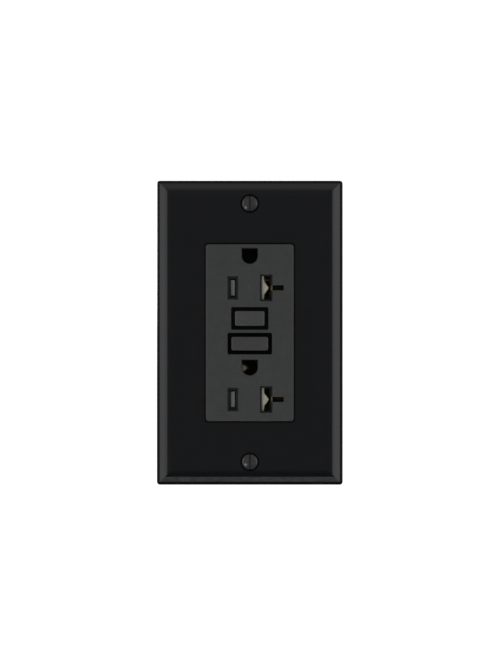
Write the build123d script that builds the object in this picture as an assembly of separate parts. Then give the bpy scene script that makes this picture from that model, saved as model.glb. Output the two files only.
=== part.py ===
from build123d import *
import os

# A flush ground-fault duplex outlet with its wall plate. Millimetres.
# +X is right as seen from the room, +Z is up and +Y goes into the wall.
# The origin is the centre of the wall plane that the plate and the strap's ears sit on.

# Wall plate
PLATE_WIDTH = 69.85
PLATE_HEIGHT = 114.3
PLATE_DEPTH = 5.6
PLATE_WALL = 2.2
PLATE_RIM = 3.5
PLATE_SIDE_HEIGHT = 2.4
PLATE_BEVEL = 4.4
PLATE_CORNER = 1.3
RIM_RADIUS = 3.0
SHOULDER_RADIUS = 5.0
WINDOW_WIDTH = 33.7
WINDOW_HEIGHT = 67.2
WINDOW_CORNER = 1.2
PLATE_SCREW_SPACING = 96.84
COUNTERSINK_RADIUS = 3.6

# Device body
FACE_WIDTH = 32.9
FACE_HEIGHT = 66.3
FACE_Y = -7.0
FACE_WALL = 2.0
FACE_SIDE_WALL = 1.5
BODY_WIDTH = 43.4
BODY_HEIGHT = 68.0
FLANGE_Y = -3.1
REAR_Y = 27.0
BODY_WALL = 2.0
RIM_THICKNESS = 1.6
REAR_RECESS = (20.0, 40.0)
WIRE_STRIP_LENGTH = 16.0
CORNERS = [(x, z) for x in (-18.6, 18.6) for z in (-31.0, 31.0)]

# Strap
STRAP_THICKNESS = 1.3
STRAP_LENGTH = 106.0
STRAP_WIDTH = 30.0
EAR_WIDTH = 38.0
MOUNT_SCREW_SPACING = 83.34
SCREW_RADIUS = 1.75
SCREW_NECK_RADIUS = 1.4
RIVET_X = (-5.0, 5.0)
RIVET_HOLE = 0.62

# Outlets: heights of the blade centre line and of the ground hole's round centre
OUTLETS = {"upper": (16.8, 28.8), "lower": (-25.0, -13.0)}
BLADE_X = 6.35
HOT_SLOT = (2.2, 7.0)
NEUTRAL_SLOT = (3.5, 8.8)
NEUTRAL_SLOT_X = 6.15
LEG_END_X = 12.7
LEG_HEIGHT = 1.9
GROUND_RADIUS = 2.92
GROUND_TOP = 2.78
HOT_LEAD_IN = 0.9
NEUTRAL_LEAD_IN = 0.6

# Buttons: width, height, centre height, and the clear frame round each of them
TEST_BUTTON = (11.0, 5.5, 5.35)
RESET_BUTTON = (13.7, 5.1, -4.1)
BUTTON_FRAME = 1.5
SKIRT_LAP = 0.4
BUTTON_FRONT_Y = -7.25

# Shutters
SHUTTER_Y = (-4.8, -2.9)
TRAY_Y = (-2.7, -1.45)

# Mechanism behind the strap
POCKET_REAR_Y = 10.2
BUS_Y = (7.2, 8.0)
ARM_Y = (9.9, 10.4)
CARRIER_Y = (10.6, 14.2)
LATCH_Y = (14.6, 15.4)
LATCH_TRAVEL = 1.5
BOARD_Y = (22.6, 24.2)
SOLENOID_Y = 16.0
SENSOR_Z = 22.3

# Terminals
TERMINAL_Z = 18.0
TERMINAL_Y = 13.0
TERMINAL_X = 17.4
TERMINAL_GAP = 2.3
WIRE_HOLE_RADIUS = 1.3


def block(x, y, z):
    """A box from three (low, high) pairs."""
    size = [high - low for low, high in (x, y, z)]
    middle = [(high + low) / 2 for low, high in (x, y, z)]
    return Pos(*middle) * Box(*size)


def panel(width, height, y, corner=0.0, x=0.0, z=0.0):
    """A plate across the Y axis with rounded corners, between two values of y."""
    low, high = y
    outline = RectangleRounded(width, height, corner) if corner else Rectangle(width, height)
    return extrude(Plane.XZ.offset(-low) * Pos(x, z) * outline, high - low, dir=(0, 1, 0))


def prism(outline, y):
    """Extrude a sketch drawn as (x, z) between two values of y."""
    low, high = y
    return extrude(Plane.XZ.offset(-low) * outline, high - low, dir=(0, 1, 0))


def shaft(radius, y, x=0.0, z=0.0):
    """A round bar along Y."""
    low, high = y
    return Pos(x, (low + high) / 2, z) * Rot(90, 0, 0) * Cylinder(radius, high - low)


def cone(radius_low, radius_high, y, x=0.0, z=0.0):
    """A cone along Y, from one radius at the lower y to the other at the higher y."""
    low, high = y
    return Pos(x, (low + high) / 2, z) * Rot(-90, 0, 0) * Cone(radius_low, radius_high, high - low)


def bar(radius, x, y, z):
    """A round bar along X."""
    low, high = x
    return Pos((low + high) / 2, y, z) * Rot(0, 90, 0) * Cylinder(radius, high - low)


def helix_wire(radius, wire, length, turns):
    """A coil spring along Z, centred on the origin, whose wire stays within its length."""
    rise = length - 2 * wire
    path = Helix(rise / turns, rise, radius)
    section = Plane(origin=path @ 0, z_dir=path % 0) * Circle(wire)
    return Pos(0, 0, -rise / 2) * sweep(section, path=path, is_frenet=True)


def coil_spring(radius, wire, y, turns, x=0.0, z=0.0):
    """A compression spring along Y between two values of y."""
    low, high = y
    return Pos(x, (low + high) / 2, z) * Rot(90, 0, 0) * helix_wire(radius, wire, high - low, turns)


def bevelled_block():
    """The plate's outside: a slab with bevelled front edges that meet in mitres, then rounded."""
    body = panel(PLATE_WIDTH, PLATE_HEIGHT, (-PLATE_DEPTH, 0))
    front = body.faces().sort_by(Axis.Y)[0]
    drop = PLATE_DEPTH - PLATE_SIDE_HEIGHT
    body = chamfer(front.edges(), PLATE_BEVEL, length2=drop, reference=front)
    body = fillet(body.faces().sort_by(Axis.Y)[0].edges(), SHOULDER_RADIUS)
    rims = body.edges().filter_by(lambda edge: abs(edge.center().Y + PLATE_SIDE_HEIGHT) < 0.01)
    body = fillet(rims, RIM_RADIUS)
    return body & panel(PLATE_WIDTH, PLATE_HEIGHT, (-PLATE_DEPTH - 1, 0), PLATE_CORNER)


def wall_plate():
    inner_y = PLATE_WALL - PLATE_DEPTH
    inside = (PLATE_WIDTH - 2 * PLATE_RIM, PLATE_HEIGHT - 2 * PLATE_RIM)
    body = bevelled_block() - panel(*inside, (inner_y, 1), 2.0)
    screw_heights = [side * PLATE_SCREW_SPACING / 2 for side in (-1, 1)]
    for z in screw_heights:
        body += shaft(3.1, (inner_y, -STRAP_THICKNESS - 0.1), 0, z)
    for x in (-26, 26):
        body += block((x - 0.6, x + 0.6), (inner_y, -1.2), (-44, 44))
    body -= panel(WINDOW_WIDTH, WINDOW_HEIGHT, (-PLATE_DEPTH - 1, 1), WINDOW_CORNER)
    lip = (WINDOW_WIDTH + 0.7, WINDOW_HEIGHT + 0.7)
    body -= panel(*lip, (-PLATE_DEPTH - 1, 0.3 - PLATE_DEPTH), WINDOW_CORNER + 0.35)
    for z in screw_heights:
        body -= shaft(1.95, (-PLATE_DEPTH - 1, 1), 0, z)
        body -= cone(COUNTERSINK_RADIUS, 1.9, (-PLATE_DEPTH, 1.9 - PLATE_DEPTH), 0, z)
    return body


def plate_screw(z):
    """An oval-head screw whose driver slot stands upright."""
    seat_y = 0.55 - PLATE_DEPTH
    head = cone(2.95, 1.7, (seat_y, seat_y + 1.35), 0, z)
    dome = Pos(0, seat_y + 4.4, z) * Sphere(5.3)
    head += dome & shaft(2.95, (seat_y - 2, seat_y), 0, z)
    screw = head + shaft(1.6, (seat_y + 1.3, 6.0), 0, z)
    return screw - block((-0.38, 0.38), (seat_y - 2, seat_y + 0.35), (z - 4, z + 4))


def ground_outline(grow=0.0):
    """A round hole with a flat top, drawn about the round part's centre."""
    radius = GROUND_RADIUS + grow
    flat = Pos(0, GROUND_TOP + grow - 10) * Rectangle(20, 20)
    bullet = Circle(radius) + Pos(0, radius / 2) * Rectangle(2 * radius, radius)
    return bullet & flat


def slot_outline(grow=0.0):
    """The hot slot."""
    width, height = HOT_SLOT
    return Rectangle(width + 2 * grow, height + 2 * grow)


def tee_outline(grow=0.0):
    """The neutral slot: an upright with a short leg that runs out to the right."""
    width, height = NEUTRAL_SLOT
    end = LEG_END_X - NEUTRAL_SLOT_X
    return Rectangle(width + 2 * grow, height + 2 * grow) + Pos(end / 2, 0) * Rectangle(end, LEG_HEIGHT)


def slot_cut(outline, lead_in, x, z):
    """A slot through the face whose mouth opens out in two small steps."""
    place = Pos(x, z)
    cut = prism(place * outline(0.0), (FACE_Y - 1, 0.5))
    cut += prism(place * outline(lead_in / 2), (FACE_Y - 1, FACE_Y + 1.0))
    return cut + prism(place * outline(lead_in), (FACE_Y - 1, FACE_Y + 0.5))


def button_opening(size):
    width, height, z = size
    frame = 2 * BUTTON_FRAME
    return panel(width + frame, height + frame, (FACE_Y - 1, 0.5), 0.6, 0, z)


def corner_posts(radius, y):
    return [shaft(radius, y, x, z) for x, z in CORNERS]


def front_cover():
    """The visible face, its side walls and the flange that the plate closes over."""
    face = panel(FACE_WIDTH, FACE_HEIGHT, (FACE_Y, FLANGE_Y + 0.5), 1.1)
    face = chamfer(face.faces().sort_by(Axis.Y)[0].edges(), 0.3)
    body = face + panel(BODY_WIDTH, BODY_HEIGHT, (FLANGE_Y, 0), 2.0)
    inner = (FACE_WIDTH - 2 * FACE_SIDE_WALL, FACE_HEIGHT - 2 * FACE_SIDE_WALL)
    body -= panel(*inner, (FACE_Y + FACE_WALL, 1), 0.6)
    body -= block((-15.3, 15.3), (-STRAP_THICKNESS, 1), (-40, 40))
    for blade_z, ground_z in OUTLETS.values():
        body -= slot_cut(slot_outline, HOT_LEAD_IN, -BLADE_X, blade_z)
        body -= slot_cut(tee_outline, NEUTRAL_LEAD_IN, NEUTRAL_SLOT_X, blade_z)
        body -= prism(Pos(0, ground_z) * ground_outline(), (FACE_Y - 1, 0.5))
        body -= prism(Pos(0, ground_z) * ground_outline(0.25), (FACE_Y - 1, FACE_Y + 0.3))
    for size in (TEST_BUTTON, RESET_BUTTON):
        body -= button_opening(size)
    for hole in corner_posts(1.2, (-2.2, 1)):
        body -= hole
    return body


def button(size, skirt_y, stem_radius, stem_end):
    """A push button: a cap, a wider skirt that the face wall keeps in, and a stem."""
    width, height, z = size
    cap = panel(width, height, (BUTTON_FRONT_Y, skirt_y + 0.1), 0.7, 0, z)
    cap = chamfer(cap.faces().sort_by(Axis.Y)[0].edges(), 0.35)
    extra = 2 * (BUTTON_FRAME + SKIRT_LAP)
    skirt = panel(width + extra, height + extra, (skirt_y, skirt_y + 1.2), 0.6, 0, z)
    return cap + skirt + shaft(stem_radius, (skirt_y + 1, stem_end), 0, z)


def strap():
    """The mounting strap: two ears, side rails, cross bars and the bent tab for the ground screw."""
    y = (-STRAP_THICKNESS, 0)
    body = panel(STRAP_WIDTH, STRAP_LENGTH, y)
    for side in (-1, 1):
        middle = (STRAP_LENGTH / 2 + 36) / 2
        body += panel(EAR_WIDTH, STRAP_LENGTH / 2 - 36, y, 3.0, 0, side * middle)
    for blade_z, ground_z in OUTLETS.values():
        body -= block((-12.8, 14.2), (-2, 1), (blade_z - 6.0, blade_z + 6.0))
        body -= prism(Pos(0, ground_z) * ground_outline(0.6), (-2, 1))
        for x in RIVET_X:
            body -= shaft(RIVET_HOLE, (-2, 1), x, ground_z)
    body -= block((-10.6, 10.6), (-2, 1), (-8.9, 10.4))
    body += block((-14.5, -5.5), (0, 10.0), (-37.3, -36.0))
    body += block((-14.5, -5.5), y, (-37.3, -35))
    body -= Pos(-10, 5.2, -36.6) * Cylinder(1.75, 4)
    for side in (-1, 1):
        body -= shaft(1.62, (-2, 1), 0, side * PLATE_SCREW_SPACING / 2)
        slot = Pos(0, side * MOUNT_SCREW_SPACING / 2) * SlotOverall(6.4, 3.9)
        body -= prism(slot, (-2, 1))
        for x in (-13.5, 13.5):
            body -= shaft(1.6, (-2, 1), x, side * 47.5)
    return body


def mounting_screw(z):
    """A pan-head screw that fastens the strap's ear to a wall box."""
    head = shaft(3.4, (-3.0, -STRAP_THICKNESS - 0.02), 0, z)
    head = fillet(head.faces().sort_by(Axis.Y)[0].edges(), 0.9)
    screw = head + shaft(SCREW_NECK_RADIUS, (-2, 3.0), 0, z) + shaft(SCREW_RADIUS, (2.0, 22.0), 0, z)
    screw = chamfer(screw.faces().sort_by(Axis.Y)[-1].edges(), 0.5)
    return screw - block((-4, 4), (-4, -2.2), (z - 0.45, z + 0.45))


def screw_retainer(z):
    """A square washer that keeps the screw in its ear."""
    washer = panel(8.0, 8.0, (0.05, 1.05), 0.8, 0, z)
    return washer - shaft(SCREW_NECK_RADIUS + 0.05, (-1, 2), 0, z)


def ground_screw():
    """A hexagon-head screw on the strap's bent tab."""
    hexagon = extrude(Plane.XY.offset(-39.7) * Pos(-10, 5.2) * RegularPolygon(4.2, 6), 2.35)
    screw = hexagon + Pos(-10, 5.2, -36.8) * Cylinder(1.7, 4.6)
    return screw - block((-15, -5), (4.75, 5.65), (-41, -38.9))


def ground_contact(z):
    """A sleeve of two brass fingers round the ground pin, on a foot behind the strap."""
    foot = block((-6.5, 6.5), (0.02, 0.82), (z - 4.6, z + 3.4))
    foot -= prism(Pos(0, z) * ground_outline(0.05), (-1, 2))
    for x in RIVET_X:
        foot -= shaft(RIVET_HOLE, (-1, 2), x, z)
    sleeve = shaft(3.1, (0.5, 8.0), 0, z) - shaft(2.4, (-1, 9), 0, z)
    sleeve -= block((-0.7, 0.7), (-1, 9), (z - 5, z + 5))
    sleeve -= shaft(2.8, (-1, 3.0), 0, z)
    sleeve -= cone(2.8, 2.4, (3.0, 4.2), 0, z)
    return foot + sleeve


def ground_rivets():
    """Tubular rivets that hold the ground contacts' feet to the strap."""
    rivets = []
    for _, z in OUTLETS.values():
        for x in RIVET_X:
            head = shaft(1.0, (0.84, 1.3), x, z)
            rivets.append(head + shaft(0.6, (-STRAP_THICKNESS, 0.9), x, z))
    return rivets


def blade_fingers(x, z, height):
    """Two sprung fingers that grip an upright blade, joined by a web at the back."""
    web_low, web_high = BUS_Y
    fingers = block((x - 2.4, x + 2.4), BUS_Y, (z - height / 2 - 1.2, z + height / 2 + 1.2))
    fingers -= block((x - 1.0, x + 1.0), (web_low - 1, web_high + 1), (z - 3.3, z + 3.3))
    for side in (-1, 1):
        points = [(1.6, 1.2), (0.65, 2.8), (1.75, web_high), (2.4, web_high), (1.3, 2.8), (2.2, 1.2)]
        outline = Polygon(*[(x + side * across, y) for across, y in points], align=None)
        fingers += extrude(Plane.XY.offset(z - height / 2) * outline, height, dir=(0, 0, 1))
    return fingers


def contact_bus(side):
    """A bus that joins both outlets' blade contacts, with the fixed contact pad."""
    spots = [blade_z for blade_z, _ in OUTLETS.values()]
    body = Part()
    for z in spots:
        body += blade_fingers(side * BLADE_X, z, 6.2)
    rail = sorted((side * 8.0, side * 12.2))
    body += block(rail, BUS_Y, (min(spots) - 3, max(spots) + 3))
    body += shaft(1.7, (BUS_Y[1] - 0.1, ARM_Y[0] - 0.85), side * 10.1, -4.1)
    return body


def leg_fingers(z):
    """A sprung pair above and below the neutral slot's leg."""
    web = block((9.4, 12.6), (5.6, 6.4), (z - 1.9, z + 1.9))
    for side in (-1, 1):
        points = [(1.5, 3.4), (0.6, 4.6), (1.3, 6.4), (1.9, 6.4), (1.2, 4.6), (2.0, 3.4)]
        outline = Polygon(*[(y, z + side * rise) for rise, y in points], align=None)
        web += extrude(Plane.YZ.offset(9.4) * outline, 3.2, dir=(1, 0, 0))
    return web + block((10.0, 12.0), (6.2, BUS_Y[0] + 0.4), (z - 1.9, z + 1.9))


def neutral_bus():
    body = contact_bus(1)
    for blade_z, _ in OUTLETS.values():
        body += leg_fingers(blade_z)
    return body


def shutter_tray(z):
    """The guide behind a pair of shutters, with a rail above and below them."""
    tray = block((-14.4, 14.4), TRAY_Y, (z - 6.0, z + 6.0))
    for side in (-1, 1):
        tray += block((-14.4, 14.4), (SHUTTER_Y[0], TRAY_Y[1]), sorted((z + side * 5.2, z + side * 6.0)))
    tray -= prism(Pos(-BLADE_X, z) * slot_outline(0.3), (-5, 0))
    tray -= block((BLADE_X - 1.7, BLADE_X + 0.9), (-5, 0), (z - 4.4, z + 4.4))
    half_leg = LEG_HEIGHT / 2 + 0.2
    return tray - block((BLADE_X, LEG_END_X + 0.3), (-5, 0), (z - half_leg, z + half_leg))


def hot_shutter(z):
    """The left shutter, with a raised ramp that the blade pushes on."""
    front, rear = SHUTTER_Y
    plate = block((-7.9, -3.7), (front + 0.6, rear), (z - 4.6, z + 4.6))
    corners = [(-7.1, front + 0.7), (-7.1, front + 0.25), (-5.7, front), (-5.7, front + 0.7)]
    ramp = Polygon(*corners, align=None)
    return plate + extrude(Plane.XY.offset(z - 2.9) * ramp, 5.8, dir=(0, 0, 1))


def neutral_shutter(z):
    """The right shutter, whose edge bulges at the height of the slot's leg."""
    outline = Polygon(
        (3.7, z - 4.6), (5.3, z - 4.6), (5.5, z - 2.4), (7.2, z), (5.5, z + 2.4),
        (5.3, z + 4.6), (3.7, z + 4.6), align=None,
    )
    shutter = prism(outline, SHUTTER_Y)
    return chamfer(shutter.faces().sort_by(Axis.Y)[0].edges(), 0.3)


def shutter_spring(z):
    """The spring that pushes a pair of shutters apart."""
    return Pos(0, -3.9, z) * Rot(0, 90, 0) * helix_wire(0.75, 0.16, 7.3, 6)


def ground_pocket(z):
    """A blind cup behind a ground contact, on a bridge whose feet stand on the deck."""
    rear = POCKET_REAR_Y
    pocket = shaft(4.0, (5.5, rear), 0, z) + block((-7.8, 7.8), (rear - 0.8, rear), (z - 1.5, z + 1.5))
    for side in (-1, 1):
        pocket += block(sorted((side * 6.9, side * 7.8)), (1.0, rear), (z - 1.5, z + 1.5))
    pocket &= panel(16, BODY_HEIGHT - 2 * BODY_WALL - 0.2, (0, rear + 1))
    return pocket - shaft(3.3, (5, rear - 0.7), 0, z)


def middle_housing():
    """The insulating deck between the strap and the mechanism, with a tub for the contacts."""
    body = panel(BODY_WIDTH, BODY_HEIGHT, (0, RIM_THICKNESS), 2.0)
    body += panel(31.0, 63.0, (1.0, 9.0), 1.0) - panel(28.6, 60.6, (RIM_THICKNESS, 10), 0.8)
    for blade_z, ground_z in OUTLETS.values():
        body -= block((-12.8, 14.2), (-1, 2), (blade_z - 6.0, blade_z + 6.0))
        body -= block((-6.8, 6.8), (-1, 10), (ground_z - 4.9, ground_z + 3.7))
        body += ground_pocket(ground_z)
    for side in (-1, 1):
        body += block(sorted((side * 12.3, side * 14.6)), (6.0, 9.0), (-6, 6))
        load_z = (-TERMINAL_Z - 2.4, 2.4 - TERMINAL_Z)
        body -= block(sorted((side * 14, side * 16)), (6.9, 10), load_z)
    body += shaft(4.3, (0.5, 5.0), 0, RESET_BUTTON[2])
    body -= shaft(3.4, (-1, 4.2), 0, RESET_BUTTON[2])
    body -= shaft(1.3, (-1, 6), 0, RESET_BUTTON[2])
    body += block((10.2, 12.0), (1, 2.95), (TEST_BUTTON[2] - 1.6, TEST_BUTTON[2] + 1.6))
    body -= shaft(1.6, (-1, 3), 0, TEST_BUTTON[2])
    for hole in corner_posts(1.25, (-1, 3)):
        body -= hole
    return body


def back_body():
    """The rear shell, with screw posts, wire holes and side windows for the terminal screws."""
    body = panel(BODY_WIDTH, BODY_HEIGHT, (RIM_THICKNESS, REAR_Y), 2.0)
    body = chamfer(body.faces().sort_by(Axis.Y)[-1].edges(), 0.9)
    inner_y = (RIM_THICKNESS - 1, REAR_Y - BODY_WALL)
    body -= panel(BODY_WIDTH - 2 * BODY_WALL, BODY_HEIGHT - 2 * BODY_WALL, inner_y, 1.0)
    posts = Part() + corner_posts(2.7, (RIM_THICKNESS, REAR_Y - 1))
    body += posts & panel(BODY_WIDTH - 1, BODY_HEIGHT - 1, (RIM_THICKNESS, REAR_Y), 1.5)
    body -= panel(*REAR_RECESS, (REAR_Y - 0.5, REAR_Y + 1), 1.5)
    for z in (-25.0, 25.0):
        body -= panel(WIRE_STRIP_LENGTH, 1.2, (REAR_Y - 0.6, REAR_Y + 1), 0.5, 0, z)
    for x in (-12, 12):
        for z in (-28, 28):
            body += block((x - 1, x + 1), (BOARD_Y[1], REAR_Y - 1), (z - 1, z + 1))
    for hole in corner_posts(1.25, (0, 30)) + corner_posts(2.3, (REAR_Y - 1.8, 30)):
        body -= hole
    for side in (-1, 1):
        for z in (-TERMINAL_Z, TERMINAL_Z):
            body -= block(sorted((side * 19, side * 23)), (7.5, 18.5), (z - 5.2, z + 5.2))
            for offset in (-3.5, 3.5):
                x = side * (TERMINAL_X - TERMINAL_GAP / 2)
                body -= shaft(WIRE_HOLE_RADIUS, (20, 30), x, z + offset)
    return body


def assembly_screws():
    """The four long screws that hold the body together from the rear."""
    screws = []
    heads = corner_posts(2.0, (REAR_Y - 1.75, REAR_Y - 0.3))
    shanks = corner_posts(1.12, (-2.0, REAR_Y - 1.6))
    for head, shank, (x, z) in zip(heads, shanks, CORNERS):
        cross = block((x - 1.3, x + 1.3), (26.0, 28), (z - 0.3, z + 0.3))
        cross += block((x - 0.3, x + 0.3), (26.0, 28), (z - 1.3, z + 1.3))
        screws.append(head + shank - cross)
    return screws


def terminal(side, z, load):
    """A terminal plate, with a tab to the bus for the load side or a foot on the board for the line."""
    near = (TERMINAL_X, TERMINAL_X + 1.0)
    body = block(near, (6.2, 20.0), (z - 4.6, z + 4.6))
    body -= bar(2.1, (10, 30), TERMINAL_Y, z)
    if load:
        body += block((12.25, near[1]), BUS_Y, (z - 2, z + 2))
    else:
        body += block(near, (19, 22.4), (z - 1.6, z + 1.6))
        body += block((11.5, near[1]), (21.6, 22.5), (z - 1.6, z + 1.6))
    return body if side > 0 else mirror(body, Plane.YZ)


def terminal_screw(side, z):
    """A side screw whose head stands in the back body's window."""
    face_x = TERMINAL_X + 1.05
    screw = bar(3.9, (face_x, face_x + 1.9), TERMINAL_Y, z)
    screw = fillet(screw.faces().sort_by(Axis.X)[-1].edges(), 0.5)
    screw += bar(2.0, (13.0, face_x + 0.2), TERMINAL_Y, z)
    screw -= block((face_x + 1.0, 24), (TERMINAL_Y - 0.5, TERMINAL_Y + 0.5), (z - 5, z + 5))
    screw -= block((face_x + 1.0, 24), (TERMINAL_Y - 2.2, TERMINAL_Y + 2.2), (z - 0.5, z + 0.5))
    return screw if side > 0 else mirror(screw, Plane.YZ)


def wire_clamp(side, z):
    """The plate that the terminal screw pulls outwards on to the wires."""
    near = TERMINAL_X - TERMINAL_GAP
    clamp = block((near - 1.3, near), (9.3, 18.6), (z - 4.6, z + 4.6)) - bar(2.05, (10, 20), TERMINAL_Y, z)
    return clamp if side > 0 else mirror(clamp, Plane.YZ)


def test_blade():
    """The sprung strip that the test button's stem bends to its contact."""
    z = TEST_BUTTON[2]
    return block((-2.0, 12.0), (3.0, 3.25), (z - 1.3, z + 1.3))


def reset_plunger():
    """The steel pin below the reset button, with a latch groove and a cone at its end."""
    z = RESET_BUTTON[2]
    pin = shaft(1.2, (-1.95, 16.0), 0, z) + cone(1.2, 0.5, (16.0, 17.2), 0, z)
    return pin - (shaft(2.0, (14.3, 15.5), 0, z) - shaft(0.8, (14, 16), 0, z))


def contact_carrier():
    """The block that the latch holds forward, with wings under the moving contacts."""
    z = RESET_BUTTON[2]
    body = block((-12.8, 12.8), CARRIER_Y, (z - 2.6, z + 2.6))
    body -= block((-8.0, 8.0), (CARRIER_Y[0] - 1, CARRIER_Y[0] + 0.8), (z - 3, z + 3))
    return body - shaft(1.4, (0, 20), 0, z)


def latch_plate():
    """The sliding plate under the carrier, whose fork takes the solenoid plunger's neck."""
    z = RESET_BUTTON[2]
    plate = block((-4.2, 4.2), LATCH_Y, (-8.9, 0.6))
    plate += block((-3.4, 3.4), (LATCH_Y[0], 19.0), (-8.9, -8.1))
    plate -= block((-1.9, 1.9), (14, 20), (-8.1, -6.6))
    plate -= block((-1.15, 1.15), (14, 20), (-10, -8.0))
    return plate - prism(Pos(0, z + 0.75) * Rot(0, 0, 90) * SlotOverall(2.8 + LATCH_TRAVEL, 2.8), (14, 16))


def contact_arm(side):
    """A sprung arm with the moving contact at its lower end."""
    near = sorted((side * 8.6, side * 11.6))
    arm = block(near, ARM_Y, (-6.6, 21.6))
    return arm + shaft(1.7, (ARM_Y[0] - 0.8, ARM_Y[0] + 0.1), side * 10.1, RESET_BUTTON[2])


def line_conductor(side):
    """The strip from the arm's root through the middle of the sensing transformers to the board."""
    across = block(sorted((side * 0.5, side * 11.6)), (ARM_Y[1] + 0.05, ARM_Y[1] + 0.75), (19.6, 23.6))
    leg = block(sorted((side * 0.5, side * 1.5)), (ARM_Y[1] + 0.05, 22.5), (21.3, 23.3))
    return across + leg


def ring(outer, inner, y):
    body = shaft(outer, y, 0, SENSOR_Z) - shaft(inner, (0, 30), 0, SENSOR_Z)
    return fillet(body.edges().filter_by(GeomType.CIRCLE), 0.8)


def sensor_housing():
    """The cup that holds the two sensing transformers, open to the front."""
    cup = shaft(9.3, (11.6, 22.4), 0, SENSOR_Z) - shaft(8.6, (10, 21.4), 0, SENSOR_Z)
    cup += shaft(3.7, (11.6, 22.0), 0, SENSOR_Z)
    return cup - shaft(2.9, (10, 24), 0, SENSOR_Z)


def along_z(radius, z, y=SOLENOID_Y, x=0.0):
    """A round bar along Z."""
    low, high = z
    return Pos(x, y, (low + high) / 2) * Cylinder(radius, high - low)


def solenoid_bobbin():
    bobbin = along_z(2.7, (-27, -13)) + along_z(5.5, (-27, -26)) + along_z(5.5, (-14, -13))
    return bobbin - along_z(2.05, (-30, -10))


def solenoid_coil():
    return along_z(5.2, (-25.95, -14.05)) - along_z(2.75, (-30, -10))


def solenoid_frame():
    """The steel bracket round the solenoid."""
    frame = block((-5.6, 5.6), (21.6, 22.5), (-28.1, -11.9))
    for z in ((-28.1, -27.1), (-12.9, -11.9)):
        frame += block((-5.6, 5.6), (10.4, 22.5), z)
    return frame - along_z(2.3, (-30, -10))


def solenoid_plunger():
    rod = along_z(1.95, (-23.5, -9.9)) + along_z(3.1, (-9.9, -9.15))
    return rod + along_z(0.9, (-9.3, -7.7)) + along_z(1.6, (-7.8, -7.0))


def plunger_spring():
    return Pos(0, SOLENOID_Y, -10.9) * helix_wire(2.55, 0.22, 1.8, 2)


def circuit_board():
    return block((-13.5, 13.5), BOARD_Y, (-30, 30))


def varistor():
    """A flat disc on two leads."""
    disc = bar(4.2, (-9.6, -6.6), 17.4, 6.5)
    disc = fillet(disc.edges().filter_by(GeomType.CIRCLE), 1.1)
    return disc + shaft(0.4, (20, 22.55), -8.1, 4.0) + shaft(0.4, (20, 22.55), -8.1, 9.0)


def film_capacitor():
    body = panel(5.0, 7.0, (15.5, 22.0), 0.8, 9.5, 7.0)
    return body + shaft(0.35, (21, 22.55), 9.5, 4.8) + shaft(0.35, (21, 22.55), 9.5, 9.2)


def control_chip():
    """A small moulded chip on eight legs."""
    chip = block((-1.9, 1.9), (20.3, 21.9), (-6.6, -1.6))
    for row in range(4):
        z = -6.0 + row * 1.27
        for side in (-1, 1):
            chip += block(sorted((side * 1.8, side * 3.0)), (21.0, 21.25), (z - 0.2, z + 0.2))
            chip += block(sorted((side * 2.75, side * 3.0)), (21.0, 22.55), (z - 0.2, z + 0.2))
    return chip


def thyristor():
    body = shaft(2.3, (17.0, 21.6), 10.0, -7.5) & block((7, 11.2), (16, 22), (-10, -5))
    for z in (-8.8, -7.5, -6.2):
        body += block((9.8, 10.2), (21.5, 22.55), (z - 0.2, z + 0.2))
    return body


def axial_part(radius, x, z):
    """A small axial component that lies across the board on its two leads."""
    low, high = x
    body = bar(radius, x, 21.1, z)
    body += block((low - 1.0, high + 1.0), (20.9, 21.3), (z - 0.2, z + 0.2))
    for end in (low - 0.8, high + 0.8):
        body += block((end - 0.2, end + 0.2), (21.1, 22.55), (z - 0.2, z + 0.2))
    return body


def save(shape, node):
    export_step(shape, f"parts/{node}.step")


def save_group(shapes, node):
    save(Compound(children=[solid for shape in shapes for solid in shape.solids()]), node)


os.makedirs("parts", exist_ok=True)
ends = (-1, 1)
save(wall_plate(), "wall_plate")
save_group([plate_screw(side * PLATE_SCREW_SPACING / 2) for side in ends], "plate_screws")
save(front_cover(), "front_cover")
save(button(TEST_BUTTON, -4.9, 1.3, 2.6), "test_button")
reset_hole = shaft(1.22, (-2.0, 1.0), 0, RESET_BUTTON[2])
save(button(RESET_BUTTON, -3.7, 1.9, 0.3) - reset_hole, "reset_button")
save(reset_plunger(), "reset_plunger")
save(coil_spring(2.65, 0.28, (-2.4, 4.1), 5, 0, RESET_BUTTON[2]), "reset_spring")
save(coil_spring(2.0, 0.22, (-3.6, -0.1), 4, 0, TEST_BUTTON[2]), "test_spring")
save(test_blade(), "test_blade")
save(strap(), "mounting_strap")
save_group([mounting_screw(side * MOUNT_SCREW_SPACING / 2) for side in ends], "mounting_screws")
save_group([screw_retainer(side * MOUNT_SCREW_SPACING / 2) for side in ends], "screw_retainers")
save(ground_screw(), "ground_screw")
for name, (blade_z, ground_z) in OUTLETS.items():
    save(shutter_tray(blade_z), f"{name}_shutter_tray")
    save(hot_shutter(blade_z), f"{name}_hot_shutter")
    save(neutral_shutter(blade_z), f"{name}_neutral_shutter")
    save(shutter_spring(blade_z), f"{name}_shutter_spring")
    save(ground_contact(ground_z), f"{name}_ground_contact")
save_group(ground_rivets(), "ground_contact_rivets")
save(middle_housing(), "middle_housing")
save(contact_bus(-1), "hot_contact_bus")
save(neutral_bus(), "neutral_contact_bus")
save(back_body(), "back_body")
save_group(assembly_screws(), "assembly_screws")
for side, kind, metal in ((-1, "hot", "brass"), (1, "neutral", "silver")):
    save(terminal(side, TERMINAL_Z, False), f"{kind}_line_terminal")
    save(terminal(side, -TERMINAL_Z, True), f"{kind}_load_terminal")
    screws = [terminal_screw(side, end * TERMINAL_Z) for end in ends]
    save_group(screws, f"{metal}_terminal_screws")
    save(contact_arm(side), f"{kind}_contact_arm")
    save(line_conductor(side), f"{kind}_line_conductor")
save_group([wire_clamp(side, end * TERMINAL_Z) for side in ends for end in ends], "wire_clamps")
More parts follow.
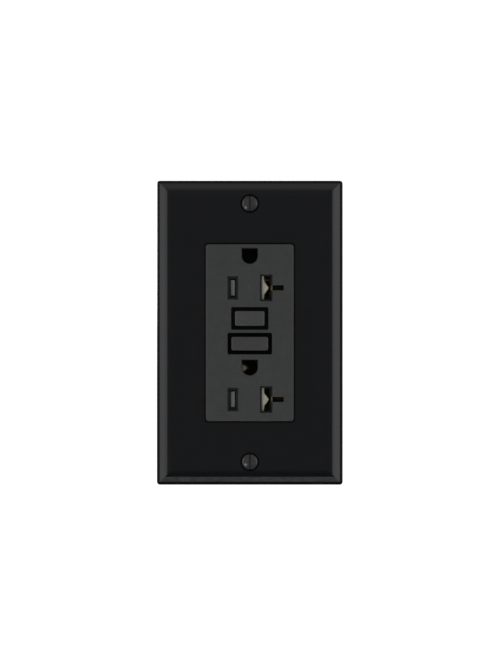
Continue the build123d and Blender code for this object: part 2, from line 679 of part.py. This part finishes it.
save(contact_carrier(), "contact_carrier")
save(latch_plate(), "latch_plate")
save(ring(8.3, 4.0, (12.6, 16.6)), "differential_transformer")
save(ring(8.3, 4.0, (17.2, 21.2)), "neutral_transformer")
save(sensor_housing(), "transformer_housing")
save(solenoid_bobbin(), "solenoid_bobbin")
save(solenoid_coil(), "solenoid_coil")
save(solenoid_frame(), "solenoid_frame")
save(solenoid_plunger(), "solenoid_plunger")
save(plunger_spring(), "plunger_spring")
save(circuit_board(), "circuit_board")
save(varistor(), "varistor")
save(film_capacitor(), "film_capacitor")
save(control_chip(), "control_chip")
save(thyristor(), "thyristor")
save_group([axial_part(1.1, (-11.5, -7.5), z) for z in (-15, -19, -23)], "resistors")
save_group([axial_part(1.2, (7.8, 11.2), z) for z in (-15, -19)], "diodes")
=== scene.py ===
import math

import bmesh
import bpy
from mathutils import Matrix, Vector


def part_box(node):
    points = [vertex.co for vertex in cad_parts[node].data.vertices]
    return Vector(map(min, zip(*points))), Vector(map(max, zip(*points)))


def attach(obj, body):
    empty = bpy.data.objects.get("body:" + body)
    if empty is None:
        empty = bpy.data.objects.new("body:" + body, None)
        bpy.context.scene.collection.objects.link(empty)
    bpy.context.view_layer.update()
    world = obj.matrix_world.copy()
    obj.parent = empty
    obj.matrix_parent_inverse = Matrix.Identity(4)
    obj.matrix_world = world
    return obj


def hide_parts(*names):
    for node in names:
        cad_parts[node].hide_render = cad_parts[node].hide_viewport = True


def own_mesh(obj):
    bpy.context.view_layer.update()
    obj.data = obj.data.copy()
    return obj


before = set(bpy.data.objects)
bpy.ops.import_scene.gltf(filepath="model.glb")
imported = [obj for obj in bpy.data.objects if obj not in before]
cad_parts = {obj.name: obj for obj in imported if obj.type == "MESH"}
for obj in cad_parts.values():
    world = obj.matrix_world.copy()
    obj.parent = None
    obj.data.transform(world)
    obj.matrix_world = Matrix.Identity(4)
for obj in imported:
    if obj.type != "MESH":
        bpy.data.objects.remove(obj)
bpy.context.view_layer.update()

# A black ground-fault duplex outlet with its wall plate. Metres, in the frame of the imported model:
# +X right as seen from the room, +Y into the wall, +Z up, and the wall plane at y = 0.

MM = 0.001
scene = bpy.context.scene


# Camera and light

PLATE_LOW, PLATE_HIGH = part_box("wall_plate")
CAMERA_DISTANCE = 1.5
PLATE_SHARE = 0.45556  # of the view's height
VIEW_HEIGHT = (PLATE_HIGH.z - PLATE_LOW.z) / PLATE_SHARE
SENSOR = 36.0
CAMERA_OFFSET = (0.08 * MM, -0.30 * MM)
BACKDROP_RADIUS = 4.0
FLOOR_HEIGHT = -0.42
FRONT_GLOW = 0.215
SIDE_GLOW = 0.56
BACK_GLOW = 0.45
LOW_SHARE = 0.15


def aim(obj, target):
    obj.rotation_euler = (Vector(target) - obj.location).to_track_quat("-Z", "Y").to_euler()


def make_camera():
    data = bpy.data.cameras.new("camera")
    data.sensor_fit = "VERTICAL"
    data.sensor_height = SENSOR
    data.lens = SENSOR * CAMERA_DISTANCE / VIEW_HEIGHT
    camera = bpy.data.objects.new("camera", data)
    scene.collection.objects.link(camera)
    x, z = CAMERA_OFFSET
    camera.location = (x, -CAMERA_DISTANCE, z)
    aim(camera, (x, 0, z))
    scene.camera = camera


def area_light(name, place, size, watts, mirrored=True):
    """A soft rectangle of light aimed at the plate; an unmirrored one leaves no reflection."""
    data = bpy.data.lights.new(name, "AREA")
    data.shape = "RECTANGLE"
    data.size, data.size_y = size
    data.energy = watts
    light = bpy.data.objects.new(name, data)
    scene.collection.objects.link(light)
    light.location = place
    light.visible_glossy = mirrored
    aim(light, (0, 0, 0))


def emission_material(name, color, strength):
    material = bpy.data.materials.new(name)
    material.use_nodes = True
    tree = material.node_tree
    tree.nodes.clear()
    glow = tree.nodes.new("ShaderNodeEmission")
    glow.inputs["Color"].default_value = (*color, 1)
    glow.inputs["Strength"].default_value = strength
    out = tree.nodes.new("ShaderNodeOutputMaterial")
    tree.links.new(glow.outputs[0], out.inputs["Surface"])
    return material


def make_backdrop():
    """A white dome that only the camera sees, so it doesn't light the object from behind."""
    bm = bmesh.new()
    bmesh.ops.create_icosphere(bm, subdivisions=4, radius=BACKDROP_RADIUS)
    mesh = bpy.data.meshes.new("backdrop")
    bm.to_mesh(mesh)
    bm.free()
    dome = bpy.data.objects.new("backdrop", mesh)
    scene.collection.objects.link(dome)
    dome.data.materials.append(emission_material("backdrop_white", (1, 1, 1), 1.15))
    dome.visible_diffuse = False
    dome.visible_glossy = False
    dome.visible_transmission = False
    dome.visible_shadow = False


def make_floor():
    """A pale floor that doesn't show in reflections, so the plate's lower bevel stays dark."""
    bm = bmesh.new()
    bmesh.ops.create_grid(bm, x_segments=2, y_segments=2, size=1.0)
    mesh = bpy.data.meshes.new("floor")
    bm.to_mesh(mesh)
    bm.free()
    floor = bpy.data.objects.new("floor", mesh)
    scene.collection.objects.link(floor)
    floor.location = (0, 0, FLOOR_HEIGHT)
    material = bpy.data.materials.new("floor_pale")
    material.use_nodes = True
    shader = material.node_tree.nodes["Principled BSDF"]
    shader.inputs["Base Color"].default_value = (0.8, 0.8, 0.8, 1)
    shader.inputs["Roughness"].default_value = 0.8
    floor.data.materials.append(material)
    floor.visible_glossy = False


def make_world():
    """A soft studio, dim behind the camera and towards the ground, and brighter at the sides."""
    world = bpy.data.worlds.new("studio")
    scene.world = world
    world.use_nodes = True
    tree = world.node_tree
    way = tree.nodes.new("ShaderNodeTexCoord").outputs["Generated"]
    split = tree.nodes.new("ShaderNodeSeparateXYZ")
    tree.links.new(way, split.inputs[0])
    ramp = tree.nodes.new("ShaderNodeValToRGB")
    stops = [
        (0.0, FRONT_GLOW), (0.22, FRONT_GLOW), (0.38, SIDE_GLOW), (0.50, SIDE_GLOW),
        (0.58, BACK_GLOW), (1.0, BACK_GLOW),
    ]
    while len(ramp.color_ramp.elements) < len(stops):
        ramp.color_ramp.elements.new(0.5)
    for element, (place, value) in zip(ramp.color_ramp.elements, stops):
        element.position = place
        element.color = (value, value, value, 1)
    depth = tree.nodes.new("ShaderNodeMapRange")
    depth.inputs["From Min"].default_value = -1.0
    depth.inputs["From Max"].default_value = 1.0
    tree.links.new(split.outputs["Y"], depth.inputs["Value"])
    tree.links.new(depth.outputs["Result"], ramp.inputs["Fac"])
    height = tree.nodes.new("ShaderNodeMapRange")
    height.inputs["From Min"].default_value = -0.9
    height.inputs["From Max"].default_value = 0.2
    height.inputs["To Min"].default_value = LOW_SHARE
    height.inputs["To Max"].default_value = 1.0
    tree.links.new(split.outputs["Z"], height.inputs["Value"])
    glow = tree.nodes.new("ShaderNodeMath")
    glow.operation = "MULTIPLY"
    tree.links.new(ramp.outputs["Color"], glow.inputs[0])
    tree.links.new(height.outputs["Result"], glow.inputs[1])
    background = tree.nodes["Background"]
    background.inputs["Color"].default_value = (1, 1, 1, 1)
    tree.links.new(glow.outputs[0], background.inputs["Strength"])


make_camera()
make_world()
make_backdrop()
make_floor()
area_light("left_soft", (-1.3, -0.42, 0.1), (0.9, 1.4), 3.0)
area_light("right_soft", (1.3, -0.42, 0.1), (0.9, 1.4), 3.3)
area_light("top_soft", (0, -1.1, 1.0), (2.0, 1.0), 0.6, mirrored=False)
area_light("low_strip", (0, -0.37, -1.36), (1.4, 0.1), 0.5)
area_light("screw_glint", (-0.42, -0.55, -0.34), (0.2, 0.2), 0.42)
area_light("back_left", (-1.1, 1.4, 0.5), (1.0, 1.0), 20)
area_light("back_right", (1.1, 1.4, 0.9), (1.0, 1.0), 24)
scene.view_settings.view_transform = "Standard"


# Materials

class Surface:
    """Builds one node material: a base colour with fine variation, roughness, bump and edge wear."""

    def __init__(self, name, color, roughness, metallic=0.0):
        self.material = bpy.data.materials.new(name)
        self.material.use_nodes = True
        self.tree = self.material.node_tree
        self.shader = self.tree.nodes["Principled BSDF"]
        self.shader.inputs["Metallic"].default_value = metallic
        self.coordinates = self.node("ShaderNodeTexCoord").outputs["Object"]
        self.color = self.constant_mix(color)
        self.roughness = roughness
        self.height = None

    def node(self, kind, **settings):
        made = self.tree.nodes.new(kind)
        for key, value in settings.items():
            setattr(made, key, value)
        return made

    def link(self, source, target):
        self.tree.links.new(source, target)

    def constant_mix(self, color):
        mix = self.node("ShaderNodeMix", data_type="RGBA")
        mix.inputs[0].default_value = 0.0
        mix.inputs[6].default_value = (*color, 1)
        mix.inputs[7].default_value = (*color, 1)
        return mix.outputs[2]

    def noise(self, scale, detail=4.0, stretch=(1, 1, 1)):
        """Noise whose scale is in features per metre."""
        place = self.node("ShaderNodeMapping")
        place.inputs["Scale"].default_value = stretch
        self.link(self.coordinates, place.inputs["Vector"])
        noise = self.node("ShaderNodeTexNoise")
        noise.inputs["Scale"].default_value = scale
        noise.inputs["Detail"].default_value = detail
        noise.inputs["Roughness"].default_value = 0.55
        self.link(place.outputs[0], noise.inputs["Vector"])
        return noise.outputs["Fac"]

    def ramp(self, value, low, high, out_low=0.0, out_high=1.0):
        remap = self.node("ShaderNodeMapRange")
        remap.inputs["From Min"].default_value = low
        remap.inputs["From Max"].default_value = high
        remap.inputs["To Min"].default_value = out_low
        remap.inputs["To Max"].default_value = out_high
        self.link(value, remap.inputs["Value"])
        return remap.outputs["Result"]

    def tint(self, mask, color):
        """Blend another colour in by a mask."""
        mix = self.node("ShaderNodeMix", data_type="RGBA")
        self.link(mask, mix.inputs[0])
        self.link(self.color, mix.inputs[6])
        mix.inputs[7].default_value = (*color, 1)
        self.color = mix.outputs[2]
        return self

    def mottle(self, scale, color, amount):
        """Cloudy variation towards another colour."""
        return self.tint(self.ramp(self.noise(scale), 0.4, 0.7, 0.0, amount), color)

    def edges(self, radius, color, amount):
        """Wear along edges, from the difference between the true and a rounded-off normal."""
        bevel = self.node("ShaderNodeBevel", samples=4)
        bevel.inputs["Radius"].default_value = radius
        geometry = self.node("ShaderNodeNewGeometry")
        dot = self.node("ShaderNodeVectorMath", operation="DOT_PRODUCT")
        self.link(bevel.outputs[0], dot.inputs[0])
        self.link(geometry.outputs["Normal"], dot.inputs[1])
        mask = self.ramp(dot.outputs["Value"], 0.995, 0.85, 0.0, amount)
        broken = self.node("ShaderNodeMath", operation="MULTIPLY")
        self.link(mask, broken.inputs[0])
        self.link(self.ramp(self.noise(900.0), 0.35, 0.6, 0.35, 1.0), broken.inputs[1])
        return self.tint(broken.outputs[0], color)

    def along(self, axis, low, high, out_low=0.0, out_high=1.0):
        """A mask that changes with one coordinate, given in millimetres."""
        split = self.node("ShaderNodeSeparateXYZ")
        self.link(self.coordinates, split.inputs[0])
        return self.ramp(split.outputs[axis], low * MM, high * MM, out_low, out_high)

    def dull_sides(self, low, high, level):
        """Lower the shine of the walls that face sideways, as moulded edges aren't polished."""
        geometry = self.node("ShaderNodeNewGeometry")
        split = self.node("ShaderNodeSeparateXYZ")
        self.link(geometry.outputs["Normal"], split.inputs[0])
        facing = self.ramp(split.outputs["Y"], -low, -high, level, 0.5)
        self.link(facing, self.shader.inputs["Specular IOR Level"])
        return self

    def vary_roughness(self, scale, spread, stretch=(1, 1, 1)):
        value = self.ramp(
            self.noise(scale, stretch=stretch), 0.3, 0.7, self.roughness - spread, self.roughness + spread
        )
        self.link(value, self.shader.inputs["Roughness"])
        return self

    def grain(self, scale, distance, strength, stretch=(1, 1, 1)):
        """Fine relief from noise; distance is its depth in metres."""
        return self.relief(self.noise(scale, 3.0, stretch), distance, strength)

    def relief(self, value, distance, strength):
        bump = self.node("ShaderNodeBump")
        bump.inputs["Strength"].default_value = strength
        bump.inputs["Distance"].default_value = distance
        self.link(value, bump.inputs["Height"])
        if self.height is not None:
            self.link(self.height, bump.inputs["Normal"])
        self.height = bump.outputs[0]
        return self

    def rings(self, axis, spacing, distance, strength):
        """Even ridges across an axis, such as a thread or a layer of wire."""
        wave = self.node("ShaderNodeTexWave", wave_type="BANDS", bands_direction=axis)
        wave.inputs["Scale"].default_value = 1.0 / spacing * 0.1591 * math.pi
        self.link(self.coordinates, wave.inputs["Vector"])
        return self.relief(wave.outputs["Fac"], distance, strength)

    def done(self):
        self.link(self.color, self.shader.inputs["Base Color"])
        if self.height is not None:
            self.link(self.height, self.shader.inputs["Normal"])
        return self.material


def gloss_black():
    """The plate: polished black nylon with faint swirl haze and a slight orange-peel ripple."""
    surface = Surface("plate_gloss_black", (0.0050, 0.0056, 0.0072), 0.17)
    surface.mottle(160.0, (0.0068, 0.0073, 0.0087), 0.7)
    surface.vary_roughness(420.0, 0.04).grain(1500.0, 0.00002, 0.1).dull_sides(0.70, 0.795, 0.04)
    return surface.edges(0.0003, (0.010, 0.010, 0.011), 0.3).done()


def moulded(name, color, light, roughness=0.5, grain=0.00004, fade=None, shade_level=0.92):
    """A matte moulded plastic with spark-eroded texture; fade darkens it over a range of depth, as painted
    shade in recesses that get little light.
    """
    surface = Surface(name, color, roughness)
    surface.mottle(260.0, light, 0.65).mottle(70.0, tuple(0.85 * value for value in color), 0.5)
    surface.mottle(900.0, tuple(0.8 * value for value in color), 0.5)
    surface.vary_roughness(700.0, 0.07).grain(3200.0, grain, 0.5)
    surface.edges(0.00025, tuple(1.7 * value for value in light), 0.35)
    if fade:
        # Painted shade: darker with depth, over recessed surfaces that little light reaches.
        surface.tint(surface.along("Y", *fade, 0.0, shade_level), RECESS_SHADE)
        surface.link(surface.along("Y", *fade, 0.5, 0.1), surface.shader.inputs["Specular IOR Level"])
    return surface.done()


def metal(name, color, dark, roughness, stretch=(1, 1, 1), fade=None):
    """A plated or rolled metal, with dull patches and fine streaks; fade darkens it with depth, as painted
    shade where little light reaches inside slots and holes.
    """
    surface = Surface(name, color, roughness, metallic=1.0)
    surface.mottle(350.0, dark, 0.7).vary_roughness(1200.0, 0.1, stretch)
    surface.grain(2500.0, 0.00001, 0.35, stretch)
    surface.edges(0.0002, tuple(min(1.0, 1.25 * value) for value in color), 0.6)
    if fade:
        # Painted shade: darker with depth inside the slots and holes, where little light reaches.
        surface.tint(surface.along("Y", *fade, 0.0, 0.93), DEPTH_SHADE)
    return surface.done()


def enamelled(name, color, light, roughness=0.38, worn=(0.11, 0.11, 0.11)):
    """Painted steel, whose paint is thin along the edges."""
    surface = Surface(name, color, roughness, metallic=0.25)
    surface.mottle(900.0, light, 0.5).vary_roughness(1500.0, 0.06).grain(2600.0, 0.00003, 0.4)
    surface.shader.inputs["Specular IOR Level"].default_value = 0.8
    return surface.edges(0.00025, worn, 0.5).done()


# Painted shade colours: the first darkens recessed moulded surfaces, the second darkens brass deep inside the
# slots and holes.
RECESS_SHADE = (0.0025, 0.0025, 0.0027)
DEPTH_SHADE = (0.014, 0.010, 0.005)
FACE = (0.065, 0.069, 0.067)
FACE_LIGHT = (0.079, 0.083, 0.080)
BUTTON = (0.087, 0.092, 0.089)
BUTTON_LIGHT = (0.099, 0.103, 0.100)
LOW_BUTTON = (0.074, 0.075, 0.074)
LOW_BUTTON_LIGHT = (0.083, 0.084, 0.083)

materials = {
    "plate": gloss_black(),
    # The face's slot lead-ins, the buttons' skirts and the grey shutters' bases get painted shade over the
    # depths given.
    "face": moulded("face_matte", FACE, FACE_LIGHT, 0.5, fade=(-6.9, -6.6), shade_level=0.5),
    "test_button": moulded("test_button_satin", BUTTON, BUTTON_LIGHT, 0.45, 0.00003, fade=(-6.8, -6.3)),
    "reset_button": moulded(
        "reset_button_satin", LOW_BUTTON, LOW_BUTTON_LIGHT, 0.45, 0.00003, fade=(-6.8, -6.3)
    ),
    "black": moulded("black_moulded", (0.012, 0.012, 0.013), (0.018, 0.018, 0.019), 0.5),
    "inner_black": moulded("inner_black", (0.012, 0.012, 0.0125), (0.018, 0.018, 0.019), 0.5),
    "grey": moulded("grey_moulded", (0.12, 0.12, 0.118), (0.15, 0.15, 0.147), 0.5),
    "shutter_grey": moulded("shutter_grey", (0.38, 0.39, 0.38), (0.43, 0.44, 0.43), 0.4, fade=(-4.45, -4.3)),
    "cream": moulded("cream_acetal", (0.82, 0.77, 0.62), (0.88, 0.84, 0.72), 0.4),
    "black_screw": enamelled("screw_black", (0.054, 0.055, 0.055), (0.082, 0.083, 0.083), 0.22),
    "green": enamelled("ground_green", (0.02, 0.16, 0.05), (0.04, 0.24, 0.09), worn=(0.3, 0.34, 0.3)),
    "zinc": metal("zinc_steel", (0.60, 0.61, 0.62), (0.42, 0.43, 0.45), 0.34),
    "brass": metal("rolled_brass", (0.72, 0.52, 0.22), (0.50, 0.33, 0.12), 0.3, (1, 1, 8)),
    # The contact and ground brass get painted shade, darker deeper inside the slots and holes.
    "contact_brass": metal(
        "contact_brass", (0.78, 0.60, 0.30), (0.55, 0.38, 0.15), 0.3, (1, 1, 8), fade=(2.4, 3.2)
    ),
    "ground_brass": metal(
        "ground_brass", (0.60, 0.44, 0.20), (0.40, 0.27, 0.10), 0.34, (1, 1, 8), fade=(-0.6, 0.1)
    ),
    "silver": metal("nickel_plate", (0.68, 0.67, 0.64), (0.50, 0.50, 0.48), 0.28, (1, 1, 8)),
    "spring": metal("drawn_wire", (0.55, 0.55, 0.55), (0.32, 0.32, 0.33), 0.25),
}


def board_material():
    """Green solder mask over copper tracks, which show as a slightly lighter relief."""
    surface = Surface("board_green", (0.015, 0.09, 0.035), 0.3)
    tracks = surface.node("ShaderNodeTexBrick")
    tracks.inputs["Scale"].default_value = 210.0
    tracks.inputs["Mortar Size"].default_value = 0.03
    surface.link(surface.coordinates, tracks.inputs["Vector"])
    surface.tint(tracks.outputs["Fac"], (0.04, 0.18, 0.07))
    surface.relief(tracks.outputs["Fac"], 0.00004, 0.4)
    return surface.vary_roughness(800.0, 0.06).mottle(300.0, (0.01, 0.07, 0.03), 0.5).done()


def shutter_cream():
    """Cream acetal, with painted shade along the margin beside the slot's left side."""
    surface = Surface("shutter_cream", (0.84, 0.79, 0.63), 0.4)
    surface.mottle(260.0, (0.90, 0.86, 0.74), 0.65).vary_roughness(700.0, 0.07).grain(3200.0, 0.00004, 0.5)
    # Painted shade: a brownish darkening along the shutter's margin beside the slot's left side.
    surface.tint(surface.along("X", 4.98, 4.5, 0.0, 0.75), (0.16, 0.13, 0.08))
    return surface.edges(0.00025, (0.95, 0.92, 0.84), 0.35).done()


def winding_material():
    """Enamelled copper wire wound side by side."""
    surface = Surface("coil_copper", (0.62, 0.20, 0.07), 0.3, metallic=0.85)
    surface.rings("Z", 0.00045, 0.00012, 0.9)
    surface.mottle(600.0, (0.35, 0.09, 0.03), 0.7)
    return surface.vary_roughness(900.0, 0.08).done()


materials["board"] = board_material()
materials["shutter_cream"] = shutter_cream()
materials["copper"] = winding_material()
materials["ferrite"] = moulded("wrapped_core", (0.03, 0.03, 0.034), (0.06, 0.055, 0.05), 0.6)
materials["varistor"] = moulded("varistor_blue", (0.02, 0.07, 0.28), (0.03, 0.10, 0.36), 0.35)
materials["capacitor"] = moulded("capacitor_red", (0.32, 0.04, 0.02), (0.40, 0.07, 0.03), 0.28)
materials["resistor"] = moulded("resistor_tan", (0.45, 0.32, 0.17), (0.55, 0.42, 0.25), 0.4)
materials["copper_wire"] = metal("copper_wire", (0.62, 0.20, 0.07), (0.35, 0.09, 0.03), 0.3)
materials["core_wire"] = metal("core_wire", (0.50, 0.17, 0.07), (0.28, 0.08, 0.03), 0.34)
materials["leaf_brass"] = metal("leaf_brass", (0.66, 0.56, 0.36), (0.30, 0.24, 0.14), 0.5, (40, 1, 1))

NODE_MATERIALS = {
    "plate": ["wall_plate"],
    "face": ["front_cover"],
    "test_button": ["test_button"],
    "reset_button": ["reset_button"],
    "black_screw": ["plate_screws"],
    "black": ["back_body", "control_chip", "thyristor", "diodes"],
    "inner_black": ["middle_housing", "upper_shutter_tray", "lower_shutter_tray"],
    "grey": ["screw_retainers"],
    "shutter_grey": ["upper_hot_shutter", "lower_hot_shutter"],
    "shutter_cream": ["upper_neutral_shutter", "lower_neutral_shutter"],
    "cream": ["contact_carrier", "transformer_housing", "solenoid_bobbin"],
    "green": ["ground_screw"],
    "zinc": [
        "mounting_strap", "mounting_screws", "assembly_screws", "wire_clamps", "latch_plate",
        "solenoid_frame", "solenoid_plunger",
    ],
    "brass": [
        "hot_line_terminal", "hot_load_terminal", "brass_terminal_screws", "hot_contact_arm",
        "neutral_contact_arm", "hot_line_conductor", "neutral_line_conductor", "test_blade",
        "ground_contact_rivets",
    ],
    "contact_brass": ["hot_contact_bus", "neutral_contact_bus"],
    "ground_brass": ["upper_ground_contact", "lower_ground_contact"],
    "silver": ["neutral_line_terminal", "neutral_load_terminal", "silver_terminal_screws"],
    "spring": [
        "reset_spring", "test_spring", "plunger_spring", "reset_plunger",
        "upper_shutter_spring", "lower_shutter_spring",
    ],
    "board": ["circuit_board"],
    "copper": ["solenoid_coil"],
    "ferrite": ["differential_transformer", "neutral_transformer"],
    "varistor": ["varistor"],
    "capacitor": ["film_capacitor"],
    "resistor": ["resistors"],
}


def dress_nodes():
    """Give every CAD node its material."""
    for finish, names in NODE_MATERIALS.items():
        for name in names:
            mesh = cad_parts[name].data
            mesh.materials.clear()
            mesh.materials.append(materials[finish])


dress_nodes()


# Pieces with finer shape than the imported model; their sizes and places are in millimetres

BOX_SCREW_HEIGHT = 41.67
PLATE_SCREW_HEIGHT = 48.42
THREAD_PITCH = 0.794
THREAD_DEPTH = 0.33
THREAD_TIP = 0.6
SOLENOID_DEPTH = 16.0
COIL_WIRE = 0.456
COIL_ENDS = (-25.93, -14.07)
COIL_RADII = (2.76, 4.95)
CORE_HEIGHT = 22.3
CORE_RADII = (4.0, 8.3)
CORE_CORNER = 0.8
WIRE_RIDGE = 0.22
SHUTTER_HEIGHTS = {"upper": 16.8, "lower": -25.0}
SHUTTER_DEPTH = -3.9
LEAF_BOTTOM = -14.9
LEAF_LENGTH = 3.3
SPRING_ORDERS = {"X": (2, 0, 1), "Y": (0, 2, 1), "Z": (0, 1, 2)}


def make_piece(name, mesh, body, slot, finish, *nodes):
    """Add a smooth mesh that rides a body and stands in for the given nodes."""
    piece = bpy.data.objects.new(name, mesh)
    scene.collection.objects.link(piece)
    mesh.materials.clear()
    mesh.materials.append(materials[finish])
    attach(piece, body)
    if nodes:
        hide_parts(*nodes)
    return piece


def add_rings(bm, rings, closed=False):
    """Join equal rings of points into a skin; the ends are capped unless the last meets the first."""
    made = [[bm.verts.new(point) for point in ring] for ring in rings]
    count = len(made[0])
    pairs = list(zip(made, made[1:]))
    if closed:
        pairs.append((made[-1], made[0]))
    for low, high in pairs:
        for index in range(count):
            following = (index + 1) % count
            bm.faces.new((low[index], low[following], high[following], high[index]))
    if not closed:
        bm.faces.new(made[0])
        bm.faces.new(made[-1])


def finish_mesh(bm, name, angle=40):
    bmesh.ops.recalc_face_normals(bm, faces=bm.faces)
    mesh = bpy.data.meshes.new(name)
    bm.to_mesh(mesh)
    bm.free()
    for polygon in mesh.polygons:
        polygon.use_smooth = True
    mesh.set_sharp_from_angle(angle=math.radians(angle))
    return mesh


def thread_rings(radius, start, end, height):
    """Rings of a V thread along Y, tapered over its tip."""
    segments = 28
    steps = int((end - start) / THREAD_PITCH * 8)
    rings = []
    for step in range(steps + 1):
        along = start + (end - start) * step / steps
        fade = min(1.0, (end - along) / THREAD_TIP)
        ring = []
        for segment in range(segments):
            turn = segment / segments
            phase = ((along - start) / THREAD_PITCH - turn) % 1.0
            ridge = 1.0 - abs(2.0 * phase - 1.0)
            reach = radius - THREAD_DEPTH * (1.0 - ridge) - 0.55 * THREAD_DEPTH * (1.0 - fade) ** 2
            around = 2 * math.pi * turn
            ring.append(Vector((reach * math.cos(around), along, height + reach * math.sin(around))) * MM)
        rings.append(ring)
    return rings


def threaded_screws(node, slot, finish, cut, height, radius, end):
    """A node's two screws with their plain shanks cut away past a depth and threaded instead."""
    bm = bmesh.new()
    bm.from_mesh(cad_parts[node].data)
    geometry = bm.verts[:] + bm.edges[:] + bm.faces[:]
    bmesh.ops.bisect_plane(
        bm, geom=geometry, plane_co=(0, cut * MM, 0), plane_no=(0, 1, 0), clear_outer=True, dist=1e-7
    )
    for side in (-1, 1):
        add_rings(bm, thread_rings(radius, cut - 0.1, end, side * height))
    make_piece(node + "_threaded", finish_mesh(bm, node + "_threaded"), "root", slot, finish, node)


def lathe_rings(profile, place, axis, segments, ripple=0, depth=0.0):
    """Turn a closed profile of (radius, along) points about an axis, with ripples round the turn."""
    rings = []
    x, y, z = place
    for segment in range(segments):
        around = 2 * math.pi * segment / segments
        dent = depth * (1 - abs(math.cos(ripple * around / 2))) if ripple else 0.0
        middle = sum(radius for radius, _ in profile) / len(profile)
        half = sum(along for _, along in profile) / len(profile)
        ring = []
        for radius, along in profile:
            reach = radius - dent * (1 if radius > middle else -1)
            level = along - dent * (1 if along > half else -1) * 0.8
            if axis == "Z":
                point = Vector((x + reach * math.cos(around), y + reach * math.sin(around), z + level))
            else:
                point = Vector((x + reach * math.cos(around), y + level, z + reach * math.sin(around)))
            ring.append(point * MM)
        rings.append(ring)
    return rings


def wound_coil():
    """The solenoid's winding: wires side by side, each a half-round ridge."""
    low, high = COIL_ENDS
    inner, outer = COIL_RADII
    turns = int((high - low) / COIL_WIRE)
    profile = [(inner, high), (inner, low)]
    for turn in range(turns):
        for part in range(6):
            angle = math.pi * part / 5
            along = low + COIL_WIRE * (turn + 0.5 - 0.5 * math.cos(angle))
            profile.append((outer + WIRE_RIDGE * math.sin(angle), along))
    bm = bmesh.new()
    add_rings(bm, lathe_rings(profile, (0, SOLENOID_DEPTH, 0), "Z", 72), closed=True)
    mesh = finish_mesh(bm, "wound_coil", 80)
    make_piece("wound_coil", mesh, "root", "copper_winding", "copper_wire", "solenoid_coil")


def wound_ring(node, front, rear):
    """A core ring wrapped in wire that goes round its section."""
    inner, outer = CORE_RADII[0] + CORE_CORNER, CORE_RADII[1] - CORE_CORNER
    near, far = front + CORE_CORNER, rear - CORE_CORNER
    profile = []
    for radius, along, start in ((outer, far, 0), (inner, far, 90), (inner, near, 180), (outer, near, 270)):
        for part in range(5):
            angle = math.radians(start + 22.5 * part)
            profile.append((radius + CORE_CORNER * math.cos(angle), along + CORE_CORNER * math.sin(angle)))
    bm = bmesh.new()
    rings = lathe_rings(profile, (0, 0, CORE_HEIGHT), "Y", 432, ripple=72, depth=WIRE_RIDGE)
    add_rings(bm, rings, closed=True)
    make_piece(node + "_wound", finish_mesh(bm, node + "_wound", 80), "root", "ferrite", "core_wire", node)


def soft_spring(node, axis, place, size):
    """A coil spring of round wire, wound along an axis, which stands in for its node."""
    radius, wire, length, turns = size
    order = SPRING_ORDERS[axis]
    rise = length - 2 * wire
    rings = []
    for step in range(24 * turns + 1):
        turn = 2 * math.pi * step / 24
        along = rise * (step / (24 * turns) - 0.5)
        ring = []
        for part in range(10):
            angle = 2 * math.pi * part / 10
            out = radius + wire * math.cos(angle)
            local = (out * math.cos(turn), out * math.sin(turn), along + wire * math.sin(angle))
            ring.append((Vector([local[index] for index in order]) + Vector(place)) * MM)
        rings.append(ring)
    bm = bmesh.new()
    add_rings(bm, rings)
    mesh = finish_mesh(bm, node + "_wire")
    spring = make_piece(node + "_wire", mesh, "root", "spring_steel", "spring", node)
    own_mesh(spring)


def ground_leaf():
    """The sprung leaf of the lower ground contact, which shows at the left of its hole."""
    bm = bmesh.new()
    rings = []
    steps = 12
    left, rear = -3.0, 2.0
    for step in range(steps + 1):
        height = LEAF_BOTTOM + LEAF_LENGTH * step / steps
        inner = -2.0 + 2.0 * math.sin(math.pi * step / steps)
        outline = [
            (left, -4.8), (left, rear), (inner, rear),
            (inner - 0.1, -3.0), (inner - 0.6, -4.2), (inner - 1.3, -4.9),
        ]
        rings.append([Vector((across, along, height)) * MM for across, along in outline])
    add_rings(bm, rings)
    make_piece("lower_ground_leaf", finish_mesh(bm, "lower_ground_leaf"), "root", "brass_parts", "leaf_brass")


threaded_screws("mounting_screws", "zinc_steel", "zinc", 3.0, BOX_SCREW_HEIGHT, 1.74, 21.98)
threaded_screws("plate_screws", "black_screw", "black_screw", -2.0, PLATE_SCREW_HEIGHT, 1.59, 5.98)
wound_coil()
wound_ring("differential_transformer", 12.6, 16.6)
wound_ring("neutral_transformer", 17.2, 21.2)
ground_leaf()
soft_spring("test_spring", "Y", (0, -1.85, 5.35), (2.0, 0.22, 3.5, 4))
soft_spring(
    "plunger_spring", "Z",
    (0, SOLENOID_DEPTH, -10.9), (2.55, 0.22, 1.8, 2),
)
for outlet, height in SHUTTER_HEIGHTS.items():
    soft_spring(
        outlet + "_shutter_spring", "X",
        (0, SHUTTER_DEPTH, height), (0.75, 0.16, 7.3, 6),
    )
